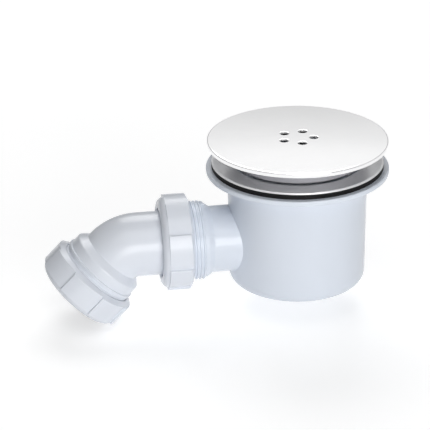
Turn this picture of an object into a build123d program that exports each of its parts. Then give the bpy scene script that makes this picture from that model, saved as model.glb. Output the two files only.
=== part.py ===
from build123d import *
from math import cos, radians, sin, sqrt, tan
import os

# A shower trap for a 90 mm tray hole: a chromed cover standing over a chromed waste flange, rubber
# seals, a white cup-shaped body with a lift-out water seal inside, and a swivelling 45 degree outlet.
# All sizes are in millimetres. The origin is where the axis of the waste meets the clamping plane,
# which is the top of the body's flange. +Z is up, and the outlet leaves along -X.

# Clearances
SCREWED = 0.10          # radial, between pieces that screw together
SLIDING = 0.30          # radial, between pieces that slide or drop into each other
SEALING = 0.05          # radial, between a rubber seal and what it seals

# Tray hole and seals
TRAY_HOLE_R = 45.0
NECK_CLEARANCE = 1.2    # radial, between the waste's neck and the tray's hole
SEAL_OVERLAP = 9.8      # how far the seals and the waste flange reach over the tray
TRAY_SEAL_T = 1.5
TRAY_SEAL_EDGE_R = 0.35

# Waste flange
WASTE_EDGE_T = 1.4
WASTE_EDGE_R = 0.9
WASTE_DISH = 0.3        # fall of the top face towards the throat
THROAT_STEP = 3.0       # the throat is this much smaller than the tray's hole
TAIL_WALL = 3.0
TAIL_LENGTH = 18.0      # how deep the screwed tail reaches into the body
INSERT_SEAT_Z = 0.6

# Body
BODY_STEP = 0.4         # the body is this much smaller than the tray's hole
BODY_DEPTH = 77.8       # clamping plane to the flat base
BODY_WALL = 2.4
BODY_FLOOR = 2.6
BODY_DRAFT = 0.5        # degrees
BASE_CORNER_R = 6.5
BODY_FLANGE_LEDGE = 3.5  # how far the body's flange shows round the seals
BODY_FLANGE_T = 3.2
FLANGE_EDGE_R = 0.8
FLANGE_ROOT_R = 1.5     # fillet between the flange and the wall
MOUTH_RIM_T = 1.4       # plain rim above the body's inside thread

# Lift-out insert
INSERT_RIM_T = 1.8
INSERT_NECK_GAP = 0.5   # radial, between the insert's neck and the tail
INSERT_NECK_WALL = 3.2
INSERT_NECK_DEPTH = 6.2
RING_SECTION = 2.1      # thickness of the sealing ring
RING_DEPTH = 2.0        # seat down to the top of the ring's groove
RING_PLAY = 0.5         # the groove is this much wider than the ring
DIP_TUBE_WALL = 1.8
DIP_COLLAR_WALL = 1.8
DIP_COLLAR_LENGTH = 3.8  # below the funnel's lowest point
DIP_COLLAR_GRIP = 3.4   # how deep the dip tube sits in the funnel's collar
FUNNEL_FALL = 5.0
WATER_SEAL = 50.0
GRAB_BAR_W = 5.0
GRAB_BAR_T = 3.6
GRAB_BAR_EDGE_R = 1.2
FIN_T = 1.8
FIN_LENGTH = 22.0       # below the cup's rim
FIN_CHAMFER = 6.0
FIN_COUNT = 3
LUG_T = 2.0
LUG_W = 7.0
LUG_REACH = 2.3
LUG_DROP = 2.5          # cup's rim down to the top of a lug

# Seal cup
OUTER_WATERWAY = 8.2    # between the body's bore and the cup
INNER_WATERWAY = 8.2    # between the cup's bore and the dip tube
CUP_WALL = 1.8
CUP_RIM_Z = -14.5
CUP_FLOOR_GAP = 1.0     # between the cup and the body's floor
CUP_CORNER_R = 5.0

# Cover
COVER_OVERHANG = 2.7    # how far the cover reaches past the waste flange
COVER_LIP = 2.85
COVER_CROWN = 0.8
COVER_T = 1.2
COVER_EDGE_R = 0.9
COVER_GAP = 11.15       # top of the waste flange up to the cover's lip
COVER_HOLES = 5
COVER_HOLE_R = 2.75
COVER_HOLE_EDGE_R = 0.5
COVER_HOLE_PITCH_R = 10.3
COVER_TURN = -11.0      # degrees, how the loose cover happens to lie
COLLAR_STEP = 1.2       # the collar is this much smaller than the throat
COLLAR_WALL = 2.0
COLLAR_RING_W = 7.2
COLLAR_RING_T = 1.6
COLLAR_SLOT = 2.2       # height of the slot where water enters under the collar
COLLAR_FOOT_T = 1.8
COLLAR_TAB_DROP = 3.0
COLLAR_FEET = 3
COLLAR_FOOT_ARC = 14.0  # degrees

# Elbow
SPIGOT_R = 20.5
ELBOW_WALL = 2.3
SPIGOT_SHOWN = 22.0     # body's socket to where the elbow starts to turn
BEND_CLEARANCE = 2.0    # inside of the bend to the bend's axis
BEND_ANGLE = 46.0
END_CONE = 4.3
END_COLLAR_LENGTH = 6.4
END_BEAD_W = 1.4
END_SOCKET_LENGTH = 27.0
PIPE_SOCKET_R = SPIGOT_R + 1.25  # takes plastic waste pipe of up to 43 mm outside
PIPE_STOP = 3.4         # bend's end to where the pushed-in pipe stops

# Outlet branch of the body
OUTLET_CLEARANCE = 9.0  # flat base up to the outlet's lowest line
PIPE_R = SPIGOT_R + 0.9
PIPE_WALL = 2.3
PIPE_SHOWN = 12.0       # body's side to the start of the socket's collar
COLLAR_CONE = 3.4
SOCKET_WALL = 3.8
SOCKET_LENGTH = 25.2    # start of the collar to the mouth
SOCKET_DEPTH = 20.0
SPIGOT_END_GAP = 0.5
MOUTH_CHAMFER = 1.8

# Compression nuts
THREAD_DEPTH = 1.2      # the nuts' bore clears the sockets' thread roots by this
NUT_LENGTH = 20.0
NUT_WALL = 3.5
NUT_BACK_WALL = 0.8
NUT_BACK_CONE = 2.4
NUT_END_WALL = 3.6
NUT_DOME_R = 4.8
NUT_OPENING_GAP = 1.9   # radial, round the spigot
NUT_LIP_R = 1.0
GRIPS = 8
GRIP_LOW = 0.2          # height of a grip at its foot
GRIP_HIGH = 1.7         # height of a grip at its step
GRIP_LENGTH = 16.2
GRIP_EDGE_R = 0.6
UNION_NUT_TURN = 32.0   # degrees, angle of one grip's step
END_NUT_TURN = 39.0
SLIP_WASHER_T = 1.4
SEAL_T = 3.0
SEAL_NOSE = 1.7

# Sizes that follow from those above
BODY_R = TRAY_HOLE_R - BODY_STEP
BODY_BORE_R = BODY_R - BODY_WALL
BASE_Z = -BODY_DEPTH
FLOOR_Z = BASE_Z + BODY_FLOOR
FLANGE_ROOT_Z = -BODY_FLANGE_T - FLANGE_ROOT_R
TRAY_SEAL_R = TRAY_HOLE_R + SEAL_OVERLAP
BODY_FLANGE_R = TRAY_SEAL_R + BODY_FLANGE_LEDGE
SEALS_TOP = 2 * TRAY_SEAL_T
WASTE_TOP = SEALS_TOP + WASTE_EDGE_T
NECK_R = TRAY_HOLE_R - NECK_CLEARANCE
THROAT_R = TRAY_HOLE_R - THROAT_STEP
TAIL_R = BODY_BORE_R - SCREWED
TAIL_BORE_R = TAIL_R - TAIL_WALL
INSERT_NECK_R = TAIL_BORE_R - INSERT_NECK_GAP
INSERT_BORE_R = INSERT_NECK_R - INSERT_NECK_WALL
INSERT_TOP = INSERT_SEAT_Z + INSERT_RIM_T
NECK_END_Z = -INSERT_NECK_DEPTH
CUP_R = BODY_BORE_R - OUTER_WATERWAY
CUP_BORE_R = CUP_R - CUP_WALL
DIP_TUBE_R = CUP_BORE_R - INNER_WATERWAY
DIP_TUBE_END = CUP_RIM_Z - WATER_SEAL
DIP_TUBE_BORE_R = DIP_TUBE_R - DIP_TUBE_WALL
DIP_COLLAR_R = DIP_TUBE_R + DIP_COLLAR_WALL
DIP_COLLAR_END = NECK_END_Z - FUNNEL_FALL - DIP_COLLAR_LENGTH
DIP_TUBE_TOP = DIP_COLLAR_END + DIP_COLLAR_GRIP
FUNNEL_SLOPE = FUNNEL_FALL / (INSERT_NECK_R - DIP_TUBE_R)
COVER_R = TRAY_SEAL_R + COVER_OVERHANG
COVER_LIP_Z = WASTE_TOP + COVER_GAP
COVER_RIM_Z = COVER_LIP_Z + COVER_LIP
COVER_TOP = COVER_RIM_Z + COVER_CROWN
CROWN_RADIUS = (COVER_R ** 2 + COVER_CROWN ** 2) / (2 * COVER_CROWN)
COLLAR_R = THROAT_R - COLLAR_STEP
COLLAR_BORE_R = COLLAR_R - COLLAR_WALL
OUTLET_Z = BASE_Z + OUTLET_CLEARANCE + PIPE_R
PIPE_END = BODY_R + PIPE_SHOWN
SOCKET_BORE_R = SPIGOT_R + SLIDING
SOCKET_R = SOCKET_BORE_R + SOCKET_WALL
SOCKET_END = PIPE_END + SOCKET_LENGTH
SOCKET_STOP = SOCKET_END - SOCKET_DEPTH
SPIGOT_START = SOCKET_STOP + SPIGOT_END_GAP
BEND_START = SOCKET_END + SPIGOT_SHOWN
BEND_R = SPIGOT_R + BEND_CLEARANCE
END_COLLAR_R = SOCKET_R + 0.3
END_BEAD_R = SOCKET_R + 1.3
NUT_BORE_R = SOCKET_R + THREAD_DEPTH
NUT_BACK_R = NUT_BORE_R + NUT_BACK_WALL
NUT_R = NUT_BORE_R + NUT_WALL
NUT_OPENING_R = SPIGOT_R + NUT_OPENING_GAP
NUT_INNER_FACE = NUT_LENGTH - NUT_END_WALL
GRIP_LOW_R = NUT_R + GRIP_LOW
GRIP_HIGH_R = NUT_R + GRIP_HIGH
NUT_ON_SOCKET = NUT_INNER_FACE - SLIP_WASHER_T - SEAL_T
UNION_NUT_START = SOCKET_END - NUT_ON_SOCKET
END_NUT_START = END_SOCKET_LENGTH - NUT_ON_SOCKET

# Local frames: Z runs along the outlet or the elbow's end, away from the trap, and X points up.
OUTLET = Plane(origin=(0, 0, OUTLET_Z), x_dir=(0, 0, 1), z_dir=(-1, 0, 0))
BEND_END = Plane(
    origin=(
        -(BEND_START + BEND_R * sin(radians(BEND_ANGLE))),
        0,
        OUTLET_Z - BEND_R * (1 - cos(radians(BEND_ANGLE))),
    ),
    x_dir=(-sin(radians(BEND_ANGLE)), 0, cos(radians(BEND_ANGLE))),
    z_dir=(-cos(radians(BEND_ANGLE)), 0, -sin(radians(BEND_ANGLE))),
)


def outline(corners):
    """A flat half section from corners (radius, height) or (radius, height, corner radius)."""
    points = [(corner[0], 0, corner[1]) for corner in corners]
    radii = [corner[2] if len(corner) > 2 else 0 for corner in corners]
    return make_face(FilletPolyline(*points, radius=radii, close=True))


def turned(corners, arc=360):
    """The half section spun about Z."""
    return revolve(outline(corners), Axis.Z, arc)


def around(piece, count, start=0):
    """Copies of a piece, evenly spaced about Z."""
    return [Rot(0, 0, start + 360 / count * i) * piece for i in range(count)]


def crown_height(radius, drop=0):
    """Height of the cover's crowned face, or of the face a little below it, at a radius."""
    sphere = CROWN_RADIUS - drop
    return COVER_TOP - CROWN_RADIUS + sqrt(sphere ** 2 - radius ** 2)


def crowned(radius, low, drop=0):
    """A disc from a flat underside up to the cover's crown."""
    rim = (radius, 0, crown_height(radius, drop))
    middle = (radius / 2, 0, crown_height(radius / 2, drop))
    crown = ThreePointArc((0, 0, crown_height(0, drop)), middle, rim)
    sides = Polyline(rim, (radius, 0, low), (0, 0, low), (0, 0, crown_height(0, drop)))
    return revolve(make_face(crown + sides), Axis.Z)


def cover_plate():
    """The chromed cover: a crowned disc with a short lip and five drain holes."""
    disc = crowned(COVER_R, COVER_LIP_Z)
    rims = [edge for edge in disc.edges().filter_by(GeomType.CIRCLE) if edge.radius < COVER_R + 1]
    disc = fillet(ShapeList(rims).sort_by(Axis.Z)[-1], COVER_EDGE_R)
    disc -= crowned(COVER_R - COVER_T, COVER_LIP_Z - 1, COVER_T)
    hole = Pos(COVER_HOLE_PITCH_R, 0, COVER_TOP) * Cylinder(COVER_HOLE_R, 6 * COVER_T)
    for cut in around(hole, COVER_HOLES, COVER_TURN):
        disc -= cut
    edges = [e for e in disc.edges() if e.center().Z > COVER_TOP - COVER_T / 2 and hole_edge(e)]
    return fillet(edges, COVER_HOLE_EDGE_R)


def hole_edge(edge):
    """Whether an edge goes round one of the cover's holes."""
    return edge.center().X ** 2 + edge.center().Y ** 2 < (2 * COVER_HOLE_PITCH_R) ** 2


def cover_collar():
    """The plastic drum bonded under the cover. Its three feet stand in the insert's mouth."""
    drum = turned([
        (COLLAR_BORE_R, INSERT_TOP + COLLAR_SLOT, 0.6),
        (COLLAR_R, INSERT_TOP + COLLAR_SLOT, 0.6),
        (COLLAR_R, COVER_RIM_Z - COLLAR_RING_T, 1.0),
        (COLLAR_BORE_R + COLLAR_RING_W, COVER_RIM_Z - COLLAR_RING_T),
        (COLLAR_BORE_R + COLLAR_RING_W, COVER_TOP),
        (COLLAR_BORE_R, COVER_TOP),
    ])
    foot_top = INSERT_TOP + COLLAR_SLOT + COLLAR_FOOT_T
    tab_r = INSERT_BORE_R - SLIDING
    foot = turned([
        (COLLAR_BORE_R + COLLAR_WALL / 2, foot_top),
        (COLLAR_BORE_R + COLLAR_WALL / 2, INSERT_TOP),
        (tab_r, INSERT_TOP),
        (tab_r, INSERT_TOP - COLLAR_TAB_DROP),
        (tab_r - COLLAR_FOOT_T, INSERT_TOP - COLLAR_TAB_DROP),
        (tab_r - COLLAR_FOOT_T, foot_top, 1.5),
    ], COLLAR_FOOT_ARC)
    collar = drum + around(foot, COLLAR_FEET, COVER_TURN + 90 - COLLAR_FOOT_ARC / 2)
    return collar & crowned(COVER_R, 0, COVER_T)


def waste_flange():
    """The chromed flange: a dished ring with a stepped throat and a screwed tail."""
    return turned([
        (THROAT_R, INSERT_SEAT_Z),
        (THROAT_R, WASTE_TOP - WASTE_DISH, 0.4),
        (TRAY_SEAL_R, WASTE_TOP, WASTE_EDGE_R),
        (TRAY_SEAL_R, SEALS_TOP, 0.3),
        (NECK_R, SEALS_TOP),
        (NECK_R, SLIDING - MOUTH_RIM_T),
        (TAIL_R, SLIDING - MOUTH_RIM_T),
        (TAIL_R, -TAIL_LENGTH, 0.6),
        (TAIL_BORE_R, -TAIL_LENGTH, 0.6),
        (TAIL_BORE_R, INSERT_SEAT_Z),
    ])


def tray_seal(low):
    """A flat rubber ring. The tray is clamped between the two."""
    return turned([
        (NECK_R + SLIDING, low),
        (TRAY_SEAL_R, low, TRAY_SEAL_EDGE_R),
        (TRAY_SEAL_R, low + TRAY_SEAL_T, TRAY_SEAL_EDGE_R),
        (NECK_R + SLIDING, low + TRAY_SEAL_T),
    ])


def body_radius(z):
    """Outside radius of the drafted wall at a height."""
    return BODY_R + (z + BODY_FLANGE_T) * tan(radians(BODY_DRAFT))


def outlet_branch():
    """The outlet, joined to the side of the cup: plain pipe, rounded collar and threaded socket."""
    shell = turned([
        (0, 0),
        (PIPE_R, 0),
        (PIPE_R, PIPE_END, 2.0),
        (SOCKET_R - 0.9, PIPE_END + COLLAR_CONE, 2.0),
        (SOCKET_R, SOCKET_STOP + 2.5),
        (SOCKET_R, SOCKET_END, 0.6),
        (0, SOCKET_END),
    ])
    return OUTLET.location * shell - body_shell() - outlet_bore()


def outlet_bore():
    """The inside of the outlet: the waterway, then the bore that takes the elbow's spigot."""
    waterway = PIPE_R - PIPE_WALL
    return OUTLET.location * turned([
        (0, 0),
        (waterway, 0),
        (waterway, SOCKET_STOP),
        (SOCKET_BORE_R, SOCKET_STOP),
        (SOCKET_BORE_R, SOCKET_END - MOUTH_CHAMFER),
        (SOCKET_BORE_R + MOUTH_CHAMFER + 1, SOCKET_END + 1),
        (0, SOCKET_END + 1),
    ])


def body_shell():
    """The outside of the cup and its clamping flange, as a solid."""
    return turned([
        (0, BASE_Z),
        (body_radius(BASE_Z), BASE_Z, BASE_CORNER_R),
        (BODY_R, -BODY_FLANGE_T, FLANGE_ROOT_R),
        (BODY_FLANGE_R, -BODY_FLANGE_T, FLANGE_EDGE_R),
        (BODY_FLANGE_R, 0, FLANGE_EDGE_R),
        (0, 0),
    ])


def body_moulding():
    """The white cup with its clamping flange, screwed mouth and a hole in its side for the outlet."""
    mouth_end = -(TAIL_LENGTH + 3)
    hollow = turned([
        (0, FLOOR_Z),
        (body_radius(BASE_Z) - BODY_WALL, FLOOR_Z, BASE_CORNER_R - BODY_WALL),
        (body_radius(mouth_end) - BODY_WALL, mouth_end),
        (BODY_BORE_R, mouth_end),
        (BODY_BORE_R, -MOUTH_RIM_T),
        (NECK_R + SLIDING, -MOUTH_RIM_T),
        (NECK_R + SLIDING, 1),
        (0, 1),
    ])
    return body_shell() - hollow - outlet_bore()


def trap_body():
    """The cup: the moulding's wall and floor, up to the root of the flange."""
    return split(body_moulding(), Plane.XY.offset(FLANGE_ROOT_Z), keep=Keep.BOTTOM)


def body_flange():
    """The flange that clamps the tray, with the plain rim above the cup's inside thread."""
    return split(body_moulding(), Plane.XY.offset(FLANGE_ROOT_Z), keep=Keep.TOP)


def funnel_height(radius):
    """Height of the funnel's underside at a radius."""
    return NECK_END_Z - (INSERT_NECK_R - radius) * FUNNEL_SLOPE


def guide_fin():
    """One fin on the dip tube. Its notch carries a lug of the seal cup."""
    root = DIP_TUBE_R - DIP_TUBE_WALL / 2
    reach = CUP_BORE_R - SLIDING
    lug_top = CUP_RIM_Z - LUG_DROP
    notch = reach - LUG_REACH
    profile = make_face(Polyline(
        (root, 0, DIP_COLLAR_END),
        (reach, 0, DIP_COLLAR_END),
        (reach, 0, lug_top + SLIDING),
        (notch, 0, lug_top + SLIDING),
        (notch, 0, lug_top - LUG_T),
        (reach, 0, lug_top - LUG_T),
        (reach, 0, CUP_RIM_Z - FIN_LENGTH + FIN_CHAMFER),
        (root, 0, CUP_RIM_Z - FIN_LENGTH),
        close=True,
    ))
    return extrude(profile, FIN_T / 2, dir=(0, 1, 0), both=True)


def dip_tube():
    """The tube that reaches into the water. It is fixed in the funnel's collar."""
    tube = turned([
        (DIP_TUBE_R, DIP_TUBE_TOP),
        (DIP_TUBE_R, DIP_TUBE_END, 0.6),
        (DIP_TUBE_BORE_R, DIP_TUBE_END, 0.6),
        (DIP_TUBE_BORE_R, DIP_TUBE_TOP),
    ])
    return tube + around(guide_fin(), FIN_COUNT, 90)


def trap_insert():
    """The lift-out funnel, with a groove for its ring, a grab bar and a collar on the dip tube."""
    groove_r = TAIL_BORE_R - RING_SECTION
    groove_z = INSERT_SEAT_Z - RING_DEPTH
    groove_w = RING_SECTION + RING_PLAY
    inner_top = NECK_END_Z + DIP_TUBE_WALL
    insert = turned([
        (INSERT_BORE_R, INSERT_TOP, 0.8),
        (THROAT_R - SLIDING, INSERT_TOP, 0.8),
        (THROAT_R - SLIDING, INSERT_SEAT_Z),
        (INSERT_NECK_R, INSERT_SEAT_Z),
        (INSERT_NECK_R, groove_z),
        (groove_r, groove_z),
        (groove_r, groove_z - groove_w),
        (INSERT_NECK_R, groove_z - groove_w),
        (INSERT_NECK_R, NECK_END_Z, 0.8),
        (DIP_COLLAR_R, funnel_height(DIP_COLLAR_R)),
        (DIP_COLLAR_R, DIP_COLLAR_END),
        (DIP_TUBE_R + SEALING, DIP_COLLAR_END),
        (DIP_TUBE_R + SEALING, DIP_TUBE_TOP),
        (DIP_TUBE_BORE_R, DIP_TUBE_TOP),
        (DIP_TUBE_BORE_R, funnel_height(DIP_TUBE_R) + DIP_TUBE_WALL, 3.0),
        (INSERT_BORE_R, inner_top, 2.0),
    ])
    bar_z = INSERT_TOP - COLLAR_TAB_DROP - 1.0 - GRAB_BAR_T / 2
    bar = Pos(0, 0, bar_z) * Box(2 * INSERT_BORE_R + 2, GRAB_BAR_W, GRAB_BAR_T)
    bar = fillet(bar.edges().filter_by(Axis.X), GRAB_BAR_EDGE_R)
    return insert + bar


def insert_ring():
    """The rubber ring in the insert's groove, which seals it to the waste's tail."""
    section = RING_SECTION / 2 - 0.02
    z = INSERT_SEAT_Z - RING_DEPTH - (RING_SECTION + RING_PLAY) / 2
    return Pos(0, 0, z) * Torus(TAIL_BORE_R - RING_SECTION / 2, section)


def seal_cup():
    """The cup that holds the water round the dip tube. It hangs from the fins by three lugs."""
    low = FLOOR_Z + CUP_FLOOR_GAP
    cup = turned([
        (0, low),
        (CUP_R, low, CUP_CORNER_R),
        (CUP_R, CUP_RIM_Z, 0.6),
        (CUP_BORE_R, CUP_RIM_Z, 0.6),
        (CUP_BORE_R, low + CUP_WALL, CUP_CORNER_R - CUP_WALL),
        (0, low + CUP_WALL),
    ])
    reach = LUG_REACH + CUP_WALL / 2
    x = CUP_BORE_R - LUG_REACH + reach / 2
    lug = Pos(x, 0, CUP_RIM_Z - LUG_DROP - LUG_T / 2) * Box(reach, LUG_W, LUG_T)
    return cup + around(lug, FIN_COUNT, 90)


def grip_outline():
    """The nut's saw-toothed outline: each grip ramps outwards, then steps back in."""
    arc = 360 / GRIPS
    high = [Vector(GRIP_HIGH_R, 0, 0).rotate(Axis.Z, arc * i) for i in range(GRIPS + 1)]
    low = [Vector(GRIP_LOW_R, 0, 0).rotate(Axis.Z, arc * i) for i in range(GRIPS + 1)]
    mid_r = (GRIP_LOW_R + GRIP_HIGH_R) / 2
    edges = []
    for i in range(GRIPS):
        middle = Vector(mid_r, 0, 0).rotate(Axis.Z, arc * (i + 0.5))
        edges += [Line(high[i], low[i]), ThreePointArc(low[i], middle, high[i + 1])]
    face = make_face(edges)
    crests = [v for v in face.vertices() if Vector(v).length > mid_r]
    return fillet(crests, GRIP_EDGE_R)


def grip_nut(turn):
    """A compression nut with eight ratchet grips, a domed front and an open back."""
    shell = turned([
        (0, 0),
        (NUT_BACK_R, 0),
        (NUT_R, NUT_BACK_CONE * 0.6),
        (NUT_R, NUT_LENGTH, NUT_DOME_R),
        (0, NUT_LENGTH),
    ])
    grip_envelope = turned([
        (0, 0),
        (NUT_BACK_R, 0),
        (GRIP_HIGH_R + 0.1, NUT_BACK_CONE),
        (GRIP_HIGH_R + 0.1, GRIP_LENGTH),
        (0, GRIP_LENGTH),
    ])
    grips = extrude(grip_outline(), GRIP_LENGTH) & grip_envelope
    hollow = turned([
        (0, -1),
        (NUT_BORE_R, -1),
        (NUT_BORE_R, NUT_INNER_FACE, 0.5),
        (NUT_OPENING_R, NUT_INNER_FACE),
        (NUT_OPENING_R, NUT_LENGTH - NUT_LIP_R),
        (NUT_OPENING_R + NUT_LIP_R + 1, NUT_LENGTH + 1),
        (0, NUT_LENGTH + 1),
    ])
    return Rot(0, 0, turn) * (shell + grips - hollow)


def slip_washer(bore):
    """The plastic ring that lets the nut turn without dragging the rubber."""
    outer = NUT_BORE_R - SLIDING
    return turned([
        (bore, NUT_INNER_FACE - SLIP_WASHER_T),
        (outer, NUT_INNER_FACE - SLIP_WASHER_T, 0.3),
        (outer, NUT_INNER_FACE, 0.5),
        (bore, NUT_INNER_FACE),
    ])


def taper_seal(bore, socket_bore):
    """The rubber ring whose coned nose the nut presses into the mouth of the socket."""
    outer = NUT_BORE_R - SLIDING
    back = NUT_INNER_FACE - SLIP_WASHER_T
    face = NUT_ON_SOCKET
    nose_r = socket_bore + MOUTH_CHAMFER - SEALING * 2
    return turned([
        (bore, back),
        (bore, face - SEAL_NOSE),
        (nose_r - SEAL_NOSE, face - SEAL_NOSE),
        (nose_r, face),
        (outer, face, 0.4),
        (outer, back, 0.4),
    ])


def elbow_end_shell():
    """The outside of the elbow's free end: cone, plain collar, bead and threaded socket."""
    bead = END_CONE + END_COLLAR_LENGTH
    return turned([
        (0, 0),
        (SPIGOT_R, 0),
        (END_COLLAR_R, END_CONE, 1.5),
        (END_COLLAR_R, bead),
        (END_BEAD_R, bead + 0.3),
        (END_BEAD_R, bead + END_BEAD_W),
        (SOCKET_R, bead + END_BEAD_W + 0.4),
        (SOCKET_R, END_SOCKET_LENGTH, 0.6),
        (0, END_SOCKET_LENGTH),
    ])


def outlet_elbow():
    """The 45 degree elbow: spigot into the body, tight bend, and a socket for the waste pipe."""
    bore = SPIGOT_R - ELBOW_WALL
    start = OUTLET.location * Pos(0, 0, SPIGOT_START)
    length = BEND_START - SPIGOT_START
    spigot = start * turned([(bore, 0), (SPIGOT_R, 0, 0.8), (SPIGOT_R, length), (bore, length)])
    ring = Location(OUTLET.location * Pos(0, 0, BEND_START)) * (Circle(SPIGOT_R) - Circle(bore))
    bend_axis = Axis((-BEND_START, 0, OUTLET_Z - BEND_R), (0, -1, 0))
    bend = revolve(ring, bend_axis, BEND_ANGLE)
    socket = turned([
        (0, -1),
        (bore, -1),
        (bore, PIPE_STOP),
        (PIPE_SOCKET_R, PIPE_STOP),
        (PIPE_SOCKET_R, END_SOCKET_LENGTH - MOUTH_CHAMFER),
        (PIPE_SOCKET_R + MOUTH_CHAMFER + 1, END_SOCKET_LENGTH + 1),
        (0, END_SOCKET_LENGTH + 1),
    ])
    end = BEND_END.location * (elbow_end_shell() - socket)
    return spigot + bend + end


def main():
    union = OUTLET.location * Pos(0, 0, UNION_NUT_START)
    end = BEND_END.location * Pos(0, 0, END_NUT_START)
    pieces = {
        "cover_plate": cover_plate(),
        "cover_collar": cover_collar(),
        "waste_flange": waste_flange(),
        "tray_seal_upper": tray_seal(TRAY_SEAL_T),
        "tray_seal_lower": tray_seal(0),
        "body_flange": body_flange(),
        "trap_body": trap_body(),
        "outlet_branch": outlet_branch(),
        "trap_insert": trap_insert(),
        "dip_tube": dip_tube(),
        "insert_ring": insert_ring(),
        "seal_cup": seal_cup(),
        "outlet_elbow": outlet_elbow(),
        "union_nut": union * grip_nut(UNION_NUT_TURN),
        "union_slip_washer": union * slip_washer(SPIGOT_R + SLIDING),
        "union_seal": union * taper_seal(SPIGOT_R + SEALING, SOCKET_BORE_R),
        "end_nut": end * grip_nut(END_NUT_TURN),
        "end_slip_washer": end * slip_washer(PIPE_SOCKET_R + SLIDING),
        "end_seal": end * taper_seal(PIPE_SOCKET_R + SEALING, PIPE_SOCKET_R),
    }
    os.makedirs("parts", exist_ok=True)
    for name, piece in pieces.items():
        export_step(piece, f"parts/{name}.step")


if __name__ == "__main__":
    main()
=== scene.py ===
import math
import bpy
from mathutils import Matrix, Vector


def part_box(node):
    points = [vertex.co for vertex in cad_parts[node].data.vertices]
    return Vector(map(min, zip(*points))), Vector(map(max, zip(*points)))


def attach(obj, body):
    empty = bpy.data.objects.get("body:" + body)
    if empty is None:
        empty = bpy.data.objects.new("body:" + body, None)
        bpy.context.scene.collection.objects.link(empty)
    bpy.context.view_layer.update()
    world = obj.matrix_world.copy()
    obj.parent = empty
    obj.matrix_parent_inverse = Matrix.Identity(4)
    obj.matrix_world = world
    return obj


bl_info = {
    "name": "Shower Trap Looks",
    "version": (1, 0, 0),
    "blender": (4, 5, 0),
    "location": "3D View > Sidebar > Shower Trap",
    "description": "Screw threads, finishes and a plain studio for the packed shower trap",
    "category": "Object",
}

import bmesh
import bpy
from bpy.props import FloatProperty, FloatVectorProperty, IntProperty, PointerProperty
from mathutils import Matrix, Vector

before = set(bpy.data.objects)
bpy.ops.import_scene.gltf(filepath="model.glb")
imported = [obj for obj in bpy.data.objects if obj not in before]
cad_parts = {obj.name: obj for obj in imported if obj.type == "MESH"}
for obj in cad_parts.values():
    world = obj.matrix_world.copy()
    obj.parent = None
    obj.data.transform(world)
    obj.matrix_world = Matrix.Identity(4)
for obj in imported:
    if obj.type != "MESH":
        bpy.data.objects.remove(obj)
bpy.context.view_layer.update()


def box_centre(node):
    """The middle of a node's box."""
    low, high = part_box(node)
    return (low + high) / 2


def box_floor():
    """The lowest point of the whole trap."""
    return min(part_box(node)[0].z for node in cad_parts)


# Where the outlet's threads are, read from the washers inside the two nuts.
UNION_WASHER = box_centre("union_slip_washer")
END_WASHER = box_centre("end_slip_washer")
SOCKET_MOUTH_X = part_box("outlet_branch")[0].x
COVER_RIM_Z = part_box("cover_plate")[1].z


def length(name, description, default):
    """A size in metres that shows in the panel."""
    return FloatProperty(name=name, description=description, default=default, precision=5,
                         unit="LENGTH", subtype="DISTANCE")


def angle(name, description, degrees):
    """An angle that shows in the panel."""
    return FloatProperty(name=name, description=description, default=math.radians(degrees),
                         unit="ROTATION", subtype="ANGLE")


def colour(name, description, default):
    """A linear colour that shows in the panel."""
    return FloatVectorProperty(name=name, description=description, default=default, size=3,
                               min=0.0, max=1.0, subtype="COLOR")


def level(name, description, default):
    """A strength of light that shows in the panel."""
    return FloatProperty(name=name, description=description, default=default, min=0.0)


def power(name, description, default):
    """A lamp's power in watts that shows in the panel."""
    return FloatProperty(name=name, description=description, default=default, min=0.0, unit="POWER")


class TrapThreadSettings(bpy.types.PropertyGroup):
    """Sizes of the screw threads on the outlet."""

    pitch: length("Pitch", "Distance between neighbouring turns", 0.0023)
    root_radius: length("Root radius", "Plain radius of the sockets under their threads", 0.0246)
    crest_radius: length("Crest radius", "Outside radius of the sockets' threads", 0.02545)
    nut_radius: length("Nut bore radius", "Plain radius of the nuts' bores", 0.0258)
    nut_crest_radius: length("Nut crest radius", "Inside radius of the nuts' threads", 0.02498)
    base_width: length("Base width", "Width of the ridge at its foot", 0.0018)
    crest_width: length("Crest width", "Width of the ridge at its crest", 0.0006)
    sunk: length("Sunk", "How far the ridge goes on below its foot, inside the wall", 0.0011)
    union_reach: length("Union thread", "Length of the thread on the body's socket", 0.0203)
    end_reach: length("End thread", "Length of the thread on the elbow's socket", 0.0138)
    nut_reach: length("Nut thread", "Length of the thread inside each nut", 0.0108)
    seal_stack: length("Seal stack", "Middle of the washer to the socket's mouth", 0.0037)
    end_fall: angle("End angle", "How far the elbow's end points down", 46.0)
    steps: IntProperty(name="Steps", description="Facets in one turn", default=72, min=12)


class TrapFinishSettings(bpy.types.PropertyGroup):
    """Colours of the trap's finishes."""

    white: colour("White plastic", "Body, insert and cup", (0.745, 0.795, 0.875))
    fittings: colour("Fittings plastic", "Elbow and nuts, a little whiter", (0.79, 0.825, 0.89))
    grey: colour("Grey plastic", "Cover's collar and the slip washers", (0.42, 0.42, 0.45))
    chrome: colour("Chrome", "Polished cover", (0.94, 0.94, 0.945))
    flange: colour("Flange chrome", "Duller plate of the waste flange", (0.74, 0.742, 0.75))
    rubber: colour("Rubber", "Seals and rings", (0.004, 0.004, 0.0045))


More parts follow.
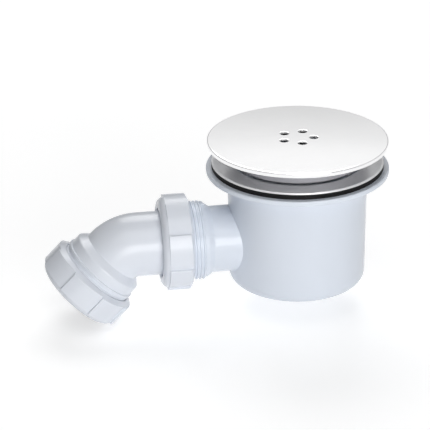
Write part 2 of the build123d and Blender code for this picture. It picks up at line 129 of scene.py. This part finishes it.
class TrapStudioSettings(bpy.types.PropertyGroup):
    """Camera, floor and light levels of the studio."""

    distance: length("Camera distance", "Camera to the middle of the cover's rim", 1.2)
    elevation: angle("Elevation", "How far the camera looks down", 22.13)
    outlet_turn: angle("Outlet turn", "Outlet's turn away from the picture plane", 11.0)
    yaw: angle("Yaw", "Turn of the view to the right of the cover", -2.48)
    pitch: angle("Pitch", "Tilt of the view above the cover", -2.34)
    roll: angle("Roll", "Roll of the view", 0.34)
    lens: FloatProperty(name="Lens", description="Focal length on a 36 mm sensor", default=158.48,
                        unit="CAMERA")
    rim_drop: length("Rim drop", "Cover's crown above the rim that the camera looks at", 0.0008)
    floor_colour: colour("Floor", "The pale floor", (0.80, 0.80, 0.80))
    floor_bounce: level("Floor bounce", "Light that the floor sends up under the trap", 0.22)
    floor_white: level("Floor white", "Extra glow that the camera, reflections and glass see", 0.34)
    ambient: level("Ambient", "Soft light all round", 0.05)
    key_power: power("Key", "Large low lamp by the camera, a little to its right", 14.4)
    upper_power: power("Upper", "Lamp above the camera", 4.15)
    back_power: power("Back", "Lamp high behind the trap", 7.9)


# Building pieces

# Faces that meet at more than this keep a sharp edge between them.
CREASE = math.radians(35)
# How far before the mouth the sockets' threads and the nuts' threads end, in metres.
SOCKET_THREAD_END = -0.0012
NUT_THREAD_END = -0.0016
# How far below the wall the tip of a ridge starts, as a share of its height.
TIP_SUNK = 0.1


def add_piece(name, bm, material, body):
    """Turns a bmesh into a piece that rides on a body, smooth between its corners."""
    mesh = bpy.data.meshes.new(name)
    for face in bm.faces:
        face.smooth = True
    bm.to_mesh(mesh)
    bm.free()
    mesh.set_sharp_from_angle(angle=CREASE)
    piece = bpy.data.objects.new(name, mesh)
    bpy.context.scene.collection.objects.link(piece)
    piece.data.materials.append(material)
    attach(piece, body)


def outlet_frame():
    """Local frame of the body's socket: Z along the outlet, X up, origin at the mouth."""
    origin = Vector((SOCKET_MOUTH_X, 0, UNION_WASHER.z))
    return local_frame(origin, 0.0)


def end_frame(settings):
    """Local frame of the elbow's free end, origin at its mouth."""
    fall = settings.end_fall
    along = Vector((-math.cos(fall), 0, -math.sin(fall)))
    return local_frame(END_WASHER - along * settings.seal_stack, fall)


def local_frame(origin, fall):
    """A frame whose Z points along the outlet, turned down by an angle, and whose X points up."""
    x = Vector((-math.sin(fall), 0, math.cos(fall)))
    z = Vector((-math.cos(fall), 0, -math.sin(fall)))
    turn = Matrix((x, z.cross(x), z)).transposed()
    return Matrix.Translation(origin) @ turn.to_4x4()


def thread(settings, wall, crest, start, end):
    """A screw-thread ridge on a cylinder of radius wall, from start to end along Z."""
    bm = bmesh.new()
    half_base, half_crest = settings.base_width / 2, settings.crest_width / 2
    sunk = wall - math.copysign(settings.sunk, crest - wall)
    section = [(sunk, -half_base), (wall, -half_base), (crest, -half_crest), (crest, half_crest),
               (wall, half_base), (sunk, half_base)]
    ring = [bm.verts.new((radius, 0, start + z)) for radius, z in section]
    corners = len(ring)
    loop = ring + [bm.edges.new((ring[i], ring[i - 1])) for i in range(corners)]
    turns = (end - start) / settings.pitch
    count = int(turns * settings.steps)
    bmesh.ops.spin(bm, geom=loop, cent=(0, 0, 0), axis=(0, 0, 1), dvec=(0, 0, (end - start) / count),
                   angle=2 * math.pi * turns, steps=count, use_merge=False)
    ridge_runs_out(bm, corners, count, settings.steps // 6, crest, wall)
    bm.verts.ensure_lookup_table()
    bmesh.ops.contextual_create(bm, geom=list(bm.verts[:corners]))
    bmesh.ops.contextual_create(bm, geom=list(bm.verts[-corners:]))
    bmesh.ops.recalc_face_normals(bm, faces=bm.faces)
    return bm


def ridge_runs_out(bm, corners, count, fade, crest, wall):
    """Lets the ridge rise from the wall at its start and sink into it at its end."""
    bm.verts.ensure_lookup_table()
    for i in range(count + 1):
        rise = min(1.0, i / fade, (count - i) / fade)
        if rise < 1.0:
            height = rise * (1 + TIP_SUNK) - TIP_SUNK
            scale = (wall + (crest - wall) * height) / crest
            crests = [v for v in bm.verts[corners * i:corners * (i + 1)]
                      if abs(math.hypot(v.co.x, v.co.y) - crest) < abs(crest - wall) / 2]
            bmesh.ops.scale(bm, vec=(scale, scale, 1), verts=crests)


# Materials

# The cover's drain holes lie nearer to the axis than this, in metres.
HOLES_REACH = 0.02
# A face whose normal rises less than this doesn't look up.
UPWARD = 0.8


def new_material(name):
    """An empty node material with a shader and Object coordinates."""
    material = bpy.data.materials.new(name)
    material.use_nodes = True
    nodes = material.node_tree.nodes
    shader = nodes["Principled BSDF"]
    coords = nodes.new("ShaderNodeTexCoord")
    return material, shader, coords.outputs["Object"]


def noise(material, vector, scale, detail=2.0, roughness=0.5):
    """A noise pattern; scale is in cells per metre."""
    node = material.node_tree.nodes.new("ShaderNodeTexNoise")
    node.inputs["Scale"].default_value = scale
    node.inputs["Detail"].default_value = detail
    node.inputs["Roughness"].default_value = roughness
    material.node_tree.links.new(vector, node.inputs["Vector"])
    return node.outputs["Fac"]


def stretched(material, vector, scale):
    """Coordinates scaled differently along each axis, for hairlines and streaks."""
    node = material.node_tree.nodes.new("ShaderNodeMapping")
    node.inputs["Scale"].default_value = scale
    material.node_tree.links.new(vector, node.inputs["Vector"])
    return node.outputs["Vector"]


def ranged(material, value, low, high, out_low, out_high):
    """Maps a pattern's range onto the range that a socket needs."""
    node = material.node_tree.nodes.new("ShaderNodeMapRange")
    for name, number in (("From Min", low), ("From Max", high), ("To Min", out_low), ("To Max", out_high)):
        node.inputs[name].default_value = number
    material.node_tree.links.new(value, node.inputs["Value"])
    return node.outputs["Result"]


def tinted(material, factor, colour_a, colour_b):
    """A mix of two colours by a pattern."""
    node = material.node_tree.nodes.new("ShaderNodeMix")
    node.data_type = "RGBA"
    sockets = {s.identifier: s for s in node.inputs}
    sockets["A_Color"].default_value = (*colour_a, 1)
    sockets["B_Color"].default_value = (*colour_b, 1)
    material.node_tree.links.new(factor, sockets["Factor_Float"])
    return next(s for s in node.outputs if s.identifier == "Result_Color")


def bumped(material, shader, height, strength, distance):
    """Feeds a pattern to the shader as relief."""
    node = material.node_tree.nodes.new("ShaderNodeBump")
    node.inputs["Strength"].default_value = strength
    node.inputs["Distance"].default_value = distance
    links = material.node_tree.links
    links.new(height, node.inputs["Height"])
    links.new(node.outputs["Normal"], shader.inputs["Normal"])


def shaded(colour_in, factor):
    """The colour made lighter or darker."""
    return tuple(min(1.0, channel * factor) for channel in colour_in)


def moulded_plastic(name, base, roughness, variation):
    """Injection-moulded plastic: faint flow marks in the colour, satin gloss, fine grain."""
    material, shader, coords = new_material(name)
    links = material.node_tree.links
    flow = noise(material, stretched(material, coords, (1, 1, 0.35)), 55, 4)
    tone = tinted(material, ranged(material, flow, 0.3, 0.7, 0, 1), shaded(base, 1 - variation), base)
    links.new(tone, shader.inputs["Base Color"])
    handling = noise(material, coords, 90, 3, 0.5)
    gloss = ranged(material, handling, 0.35, 0.75, roughness - 0.01, roughness + 0.03)
    links.new(gloss, shader.inputs["Roughness"])
    shader.inputs["IOR"].default_value = 1.49
    bumped(material, shader, noise(material, coords, 900, 2), 0.015, 0.00003)
    return material


def drilled_walls(material, coords):
    """One on faces near the axis that don't look up, such as the drain holes' walls, and else nought."""
    nodes, links = material.node_tree.nodes, material.node_tree.links
    flat = nodes.new("ShaderNodeVectorMath")
    flat.operation = "MULTIPLY"
    flat.inputs[1].default_value = (1, 1, 0)
    links.new(coords, flat.inputs[0])
    away = nodes.new("ShaderNodeVectorMath")
    away.operation = "LENGTH"
    links.new(flat.outputs["Vector"], away.inputs[0])
    near = arithmetic(nodes, links, "LESS_THAN", away.outputs["Value"], HOLES_REACH)
    split = nodes.new("ShaderNodeSeparateXYZ")
    links.new(coords.node.outputs["Normal"], split.inputs[0])
    steep = arithmetic(nodes, links, "LESS_THAN", split.outputs["Z"], UPWARD)
    return arithmetic(nodes, links, "MULTIPLY", near, steep)


def polished_chrome(name, base, roughness, metallic):
    """Chrome plate: a mirror with slight haze, wiping hairlines and hardly metallic hole walls."""
    material, shader, coords = new_material(name)
    links = material.node_tree.links
    walls = drilled_walls(material, coords)
    links.new(ranged(material, walls, 0, 1, metallic, 0.1), shader.inputs["Metallic"])
    haze = noise(material, coords, 70, 5)
    tone = tinted(material, ranged(material, haze, 0.3, 0.7, 0, 1), shaded(base, 0.985), base)
    links.new(tone, shader.inputs["Base Color"])
    hairlines = noise(material, stretched(material, coords, (1, 38, 38)), 60, 3)
    links.new(ranged(material, hairlines, 0.4, 0.75, roughness, roughness + 0.05), shader.inputs["Roughness"])
    bumped(material, shader, hairlines, 0.03, 0.00003)
    return material


def black_rubber(name, base):
    """Soft black rubber: nearly matt, slightly grained, with a dusty bloom in patches."""
    material, shader, coords = new_material(name)
    links = material.node_tree.links
    bloom = noise(material, coords, 90, 5, 0.6)
    tone = tinted(material, ranged(material, bloom, 0.45, 0.8, 0, 1), base, shaded(base, 1.9))
    links.new(tone, shader.inputs["Base Color"])
    links.new(ranged(material, bloom, 0.3, 0.8, 0.5, 0.65), shader.inputs["Roughness"])
    shader.inputs["Specular IOR Level"].default_value = 0.2
    bumped(material, shader, noise(material, coords, 2600, 2), 0.25, 0.00006)
    return material


def give(nodes, material):
    """Puts a material on CAD nodes."""
    for node in nodes:
        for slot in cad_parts[node].material_slots:
            slot.material = material


class TRAP_OT_finishes(bpy.types.Operator):
    """Make the plastics, the chromes and the rubber, and put them on the trap's parts"""

    bl_idname = "trap.finishes"
    bl_label = "Finishes"

    def execute(self, context):
        finish = context.scene.trap_finish
        give(("trap_body", "body_flange", "outlet_branch", "trap_insert", "dip_tube", "seal_cup"),
             moulded_plastic("moulded_white", tuple(finish.white), 0.235, 0.02))
        give(("outlet_elbow", "union_nut", "end_nut"),
             moulded_plastic("moulded_fittings", tuple(finish.fittings), 0.235, 0.02))
        give(("cover_collar", "union_slip_washer", "end_slip_washer"),
             moulded_plastic("moulded_grey", tuple(finish.grey), 0.42, 0.05))
        give(("cover_plate",), polished_chrome("cover_chrome", tuple(finish.chrome), 0.07, 1.0))
        give(("waste_flange",), polished_chrome("flange_chrome", tuple(finish.flange), 0.30, 0.5))
        give(("tray_seal_upper", "tray_seal_lower", "insert_ring", "union_seal", "end_seal"),
             black_rubber("seal_rubber", tuple(finish.rubber)))
        return {"FINISHED"}


class TRAP_OT_socket_threads(bpy.types.Operator):
    """Add the outside threads of the body's socket and of the elbow's end"""

    bl_idname = "trap.socket_threads"
    bl_label = "Socket Threads"

    def execute(self, context):
        size = context.scene.trap_thread
        for name, reach, place, body, finish in (
            ("socket_thread", size.union_reach, outlet_frame(), "trap", "moulded_white"),
            ("elbow_thread", size.end_reach, end_frame(size), "swivel_outlet", "moulded_fittings"),
        ):
            bm = thread(size, size.root_radius, size.crest_radius, -reach, SOCKET_THREAD_END)
            bmesh.ops.transform(bm, matrix=place, verts=bm.verts)
            add_piece(name, bm, bpy.data.materials[finish], body)
        return {"FINISHED"}


class TRAP_OT_nut_threads(bpy.types.Operator):
    """Add the inside threads of the two nuts"""

    bl_idname = "trap.nut_threads"
    bl_label = "Nut Threads"

    def execute(self, context):
        size = context.scene.trap_thread
        for name, reach, place, body in (
            ("union_nut_thread", size.union_reach, outlet_frame(), "trap"),
            ("end_nut_thread", size.end_reach, end_frame(size), "swivel_outlet"),
        ):
            lead = (reach - size.nut_reach) % size.pitch
            start = -size.nut_reach - lead + size.pitch / 2 * (1 if lead > size.pitch / 2 else 3)
            bm = thread(size, size.nut_radius, size.nut_crest_radius, start, NUT_THREAD_END)
            bmesh.ops.transform(bm, matrix=place, verts=bm.verts)
            add_piece(name, bm, bpy.data.materials["moulded_fittings"], body)
        return {"FINISHED"}


# Studio

# The backdrop's shades at rising heights, as the sine of the elevation.
TENT_STEPS = ((0.05, (0.30, 0.30, 0.31)), (0.25, (0.50, 0.50, 0.51)), (0.322, (0.74, 0.74, 0.74)),
              (0.378, (0.88, 0.88, 0.88)), (0.405, (1.0, 1.0, 1.0)))
SENSOR_WIDTH = 36
# Half the floor's width, and how far it lies below the trap, in metres.
FLOOR_REACH, FLOOR_GAP = 6.0, 0.0002
# The lamps face this point and stand at this distance, in metres.
LIT_POINT, LAMP_DISTANCE = (-0.04, 0, -0.03), 1.4
# Each lamp's setting in the panel, its azimuth and elevation in degrees and its size in metres.
LAMPS = (("key", 17, 6, (1.1, 0.8)), ("upper", -8, 60, (0.9, 0.9)), ("back", 188, 48, (0.9, 0.8)))


def studio_camera(settings):
    """The camera at the photograph's viewing angle."""
    elevation = settings.elevation
    right = Vector((1, 0, 0))
    forward = Vector((0, math.cos(elevation), -math.sin(elevation)))
    up = right.cross(forward)
    place = -forward * settings.distance
    forward, right = swung(forward, right, settings.yaw)
    forward, up = swung(forward, up, settings.pitch)
    right, up = swung(right, up, settings.roll)
    turn = Matrix((right, up, -forward)).transposed().to_4x4()
    target = Vector((0, 0, COVER_RIM_Z - settings.rim_drop))
    spin = Matrix.Rotation(-settings.outlet_turn, 4, "Z")
    data = bpy.data.cameras.new("studio_camera")
    data.lens = settings.lens
    data.sensor_width = SENSOR_WIDTH
    data.clip_start = 0.05
    camera = bpy.data.objects.new("studio_camera", data)
    camera.matrix_world = Matrix.Translation(target) @ spin @ Matrix.Translation(place) @ turn
    bpy.context.scene.collection.objects.link(camera)
    bpy.context.scene.camera = camera


def swung(first, second, turn):
    """Two axes after a turn that carries the first towards the second."""
    return (math.cos(turn) * first + math.sin(turn) * second,
            math.cos(turn) * second - math.sin(turn) * first)


def lamp(name, place, target, size, watts):
    """A soft rectangular lamp that faces a point."""
    data = bpy.data.lights.new(name, "AREA")
    data.shape = "RECTANGLE"
    data.size, data.size_y = size
    data.energy = watts
    light = bpy.data.objects.new(name, data)
    facing = (Vector(target) - place).to_track_quat("-Z", "Y").to_matrix().to_4x4()
    light.matrix_world = Matrix.Translation(place) @ facing
    bpy.context.scene.collection.objects.link(light)


def turned_place(settings, azimuth, elevation):
    """A lamp's place round the trap: azimuth 0 is the camera's side, growing to the camera's right."""
    swing = math.radians(azimuth - 90) - settings.outlet_turn
    rise = math.radians(elevation)
    return LAMP_DISTANCE * Vector((math.cos(rise) * math.cos(swing),
                                   math.cos(rise) * math.sin(swing),
                                   math.sin(rise)))


def studio_floor(settings):
    """A pale floor that keeps the shadow and looks white to the camera and in reflections."""
    bm = bmesh.new()
    bmesh.ops.create_grid(bm, x_segments=1, y_segments=1, size=FLOOR_REACH)
    bmesh.ops.translate(bm, vec=(0, 0, box_floor() - FLOOR_GAP), verts=bm.verts)
    mesh = bpy.data.meshes.new("studio_floor")
    bm.to_mesh(mesh)
    bm.free()
    floor = bpy.data.objects.new("studio_floor", mesh)
    bpy.context.scene.collection.objects.link(floor)
    material = bpy.data.materials.new("studio_floor")
    material.use_nodes = True
    nodes, links = material.node_tree.nodes, material.node_tree.links
    nodes.clear()
    matt = nodes.new("ShaderNodeBsdfDiffuse")
    matt.inputs["Color"].default_value = (*settings.floor_colour, 1)
    extra = arithmetic(nodes, links, "MULTIPLY", looking(nodes, links), settings.floor_white)
    glow = nodes.new("ShaderNodeEmission")
    links.new(arithmetic(nodes, links, "ADD", extra, settings.floor_bounce), glow.inputs["Strength"])
    both = nodes.new("ShaderNodeAddShader")
    links.new(matt.outputs[0], both.inputs[0])
    links.new(glow.outputs[0], both.inputs[1])
    out = nodes.new("ShaderNodeOutputMaterial")
    links.new(both.outputs[0], out.inputs["Surface"])
    floor.data.materials.append(material)


def arithmetic(nodes, links, operation, first, second):
    """A maths node on two outputs, or on an output and a number."""
    node = nodes.new("ShaderNodeMath")
    node.operation = operation
    links.new(first, node.inputs[0])
    if isinstance(second, float):
        node.inputs[1].default_value = second
    else:
        links.new(second, node.inputs[1])
    return node.outputs[0]


def looking(nodes, links):
    """One for rays from the camera, a reflection or a clear piece, and else nought."""
    path = nodes.new("ShaderNodeLightPath")
    seen = arithmetic(nodes, links, "MAXIMUM", path.outputs["Is Camera Ray"], path.outputs["Is Glossy Ray"])
    return arithmetic(nodes, links, "MAXIMUM", seen, path.outputs["Is Transmission Ray"])


def backdrop(nodes, tint, strength):
    """One of the world's backgrounds."""
    node = nodes.new("ShaderNodeBackground")
    node.inputs["Color"].default_value = (*tint, 1)
    node.inputs["Strength"].default_value = strength
    return node


def either(nodes, links, choice, first, second):
    """Shows the second shader where the choice is 1, and else the first."""
    node = nodes.new("ShaderNodeMixShader")
    links.new(choice, node.inputs["Fac"])
    links.new(first, node.inputs[1])
    links.new(second, node.inputs[2])
    return node.outputs[0]


def studio_world(settings):
    """Soft light all round, and a tent paling upwards that camera, reflections and glass all see."""
    world = bpy.data.worlds.new("studio_world")
    bpy.context.scene.world = world
    world.use_nodes = True
    nodes, links = world.node_tree.nodes, world.node_tree.links
    nodes.clear()
    soft = backdrop(nodes, (0.97, 0.985, 1.0), settings.ambient)
    tent = backdrop(nodes, (1, 1, 1), 1.0)
    coords = nodes.new("ShaderNodeTexCoord")
    split = nodes.new("ShaderNodeSeparateXYZ")
    links.new(coords.outputs["Generated"], split.inputs[0])
    ramp = nodes.new("ShaderNodeValToRGB")
    links.new(split.outputs["Z"], ramp.inputs["Fac"])
    steps = ramp.color_ramp.elements
    for _ in TENT_STEPS[2:]:
        steps.new(0.5)
    for step, (height, shade) in zip(steps, TENT_STEPS):
        step.position = height
        step.color = (*shade, 1)
    links.new(ramp.outputs["Color"], tent.inputs["Color"])
    out = nodes.new("ShaderNodeOutputWorld")
    shown = either(nodes, links, looking(nodes, links), soft.outputs[0], tent.outputs[0])
    links.new(shown, out.inputs["Surface"])


class TRAP_OT_studio(bpy.types.Operator):
    """Set up the floor, the backdrop, the lamps and the camera"""

    bl_idname = "trap.studio"
    bl_label = "Studio"

    def execute(self, context):
        studio = context.scene.trap_studio
        context.scene.view_settings.view_transform = "Standard"
        studio_camera(studio)
        studio_floor(studio)
        studio_world(studio)
        for name, azimuth, elevation, size in LAMPS:
            place = turned_place(studio, azimuth, elevation)
            lamp(name + "_lamp", place, LIT_POINT, size, getattr(studio, name + "_power"))
        return {"FINISHED"}


STEPS = (TRAP_OT_finishes, TRAP_OT_socket_threads, TRAP_OT_nut_threads, TRAP_OT_studio)


class VIEW3D_PT_shower_trap(bpy.types.Panel):
    """The trap's settings and the steps that make its looks"""

    bl_label = "Shower Trap"
    bl_idname = "VIEW3D_PT_shower_trap"
    bl_space_type = "VIEW_3D"
    bl_region_type = "UI"
    bl_category = "Shower Trap"

    def draw(self, context):
        layout = self.layout
        for settings in (context.scene.trap_thread, context.scene.trap_finish, context.scene.trap_studio):
            box = layout.box()
            for name in settings.__annotations__:
                box.prop(settings, name)
        for step in STEPS:
            layout.operator(step.bl_idname)


SETTINGS = {
    "trap_thread": TrapThreadSettings,
    "trap_finish": TrapFinishSettings,
    "trap_studio": TrapStudioSettings,
}


def register():
    for cls in (*SETTINGS.values(), *STEPS, VIEW3D_PT_shower_trap):
        bpy.utils.register_class(cls)
    for name, cls in SETTINGS.items():
        setattr(bpy.types.Scene, name, PointerProperty(type=cls))


def unregister():
    for name in SETTINGS:
        delattr(bpy.types.Scene, name)
    for cls in (VIEW3D_PT_shower_trap, *reversed(STEPS), *reversed(SETTINGS.values())):
        bpy.utils.unregister_class(cls)


def main():
    register()
    bpy.ops.trap.finishes()
    bpy.ops.trap.socket_threads()
    bpy.ops.trap.nut_threads()
    bpy.ops.trap.studio()


if __name__ == "__main__":
    main()
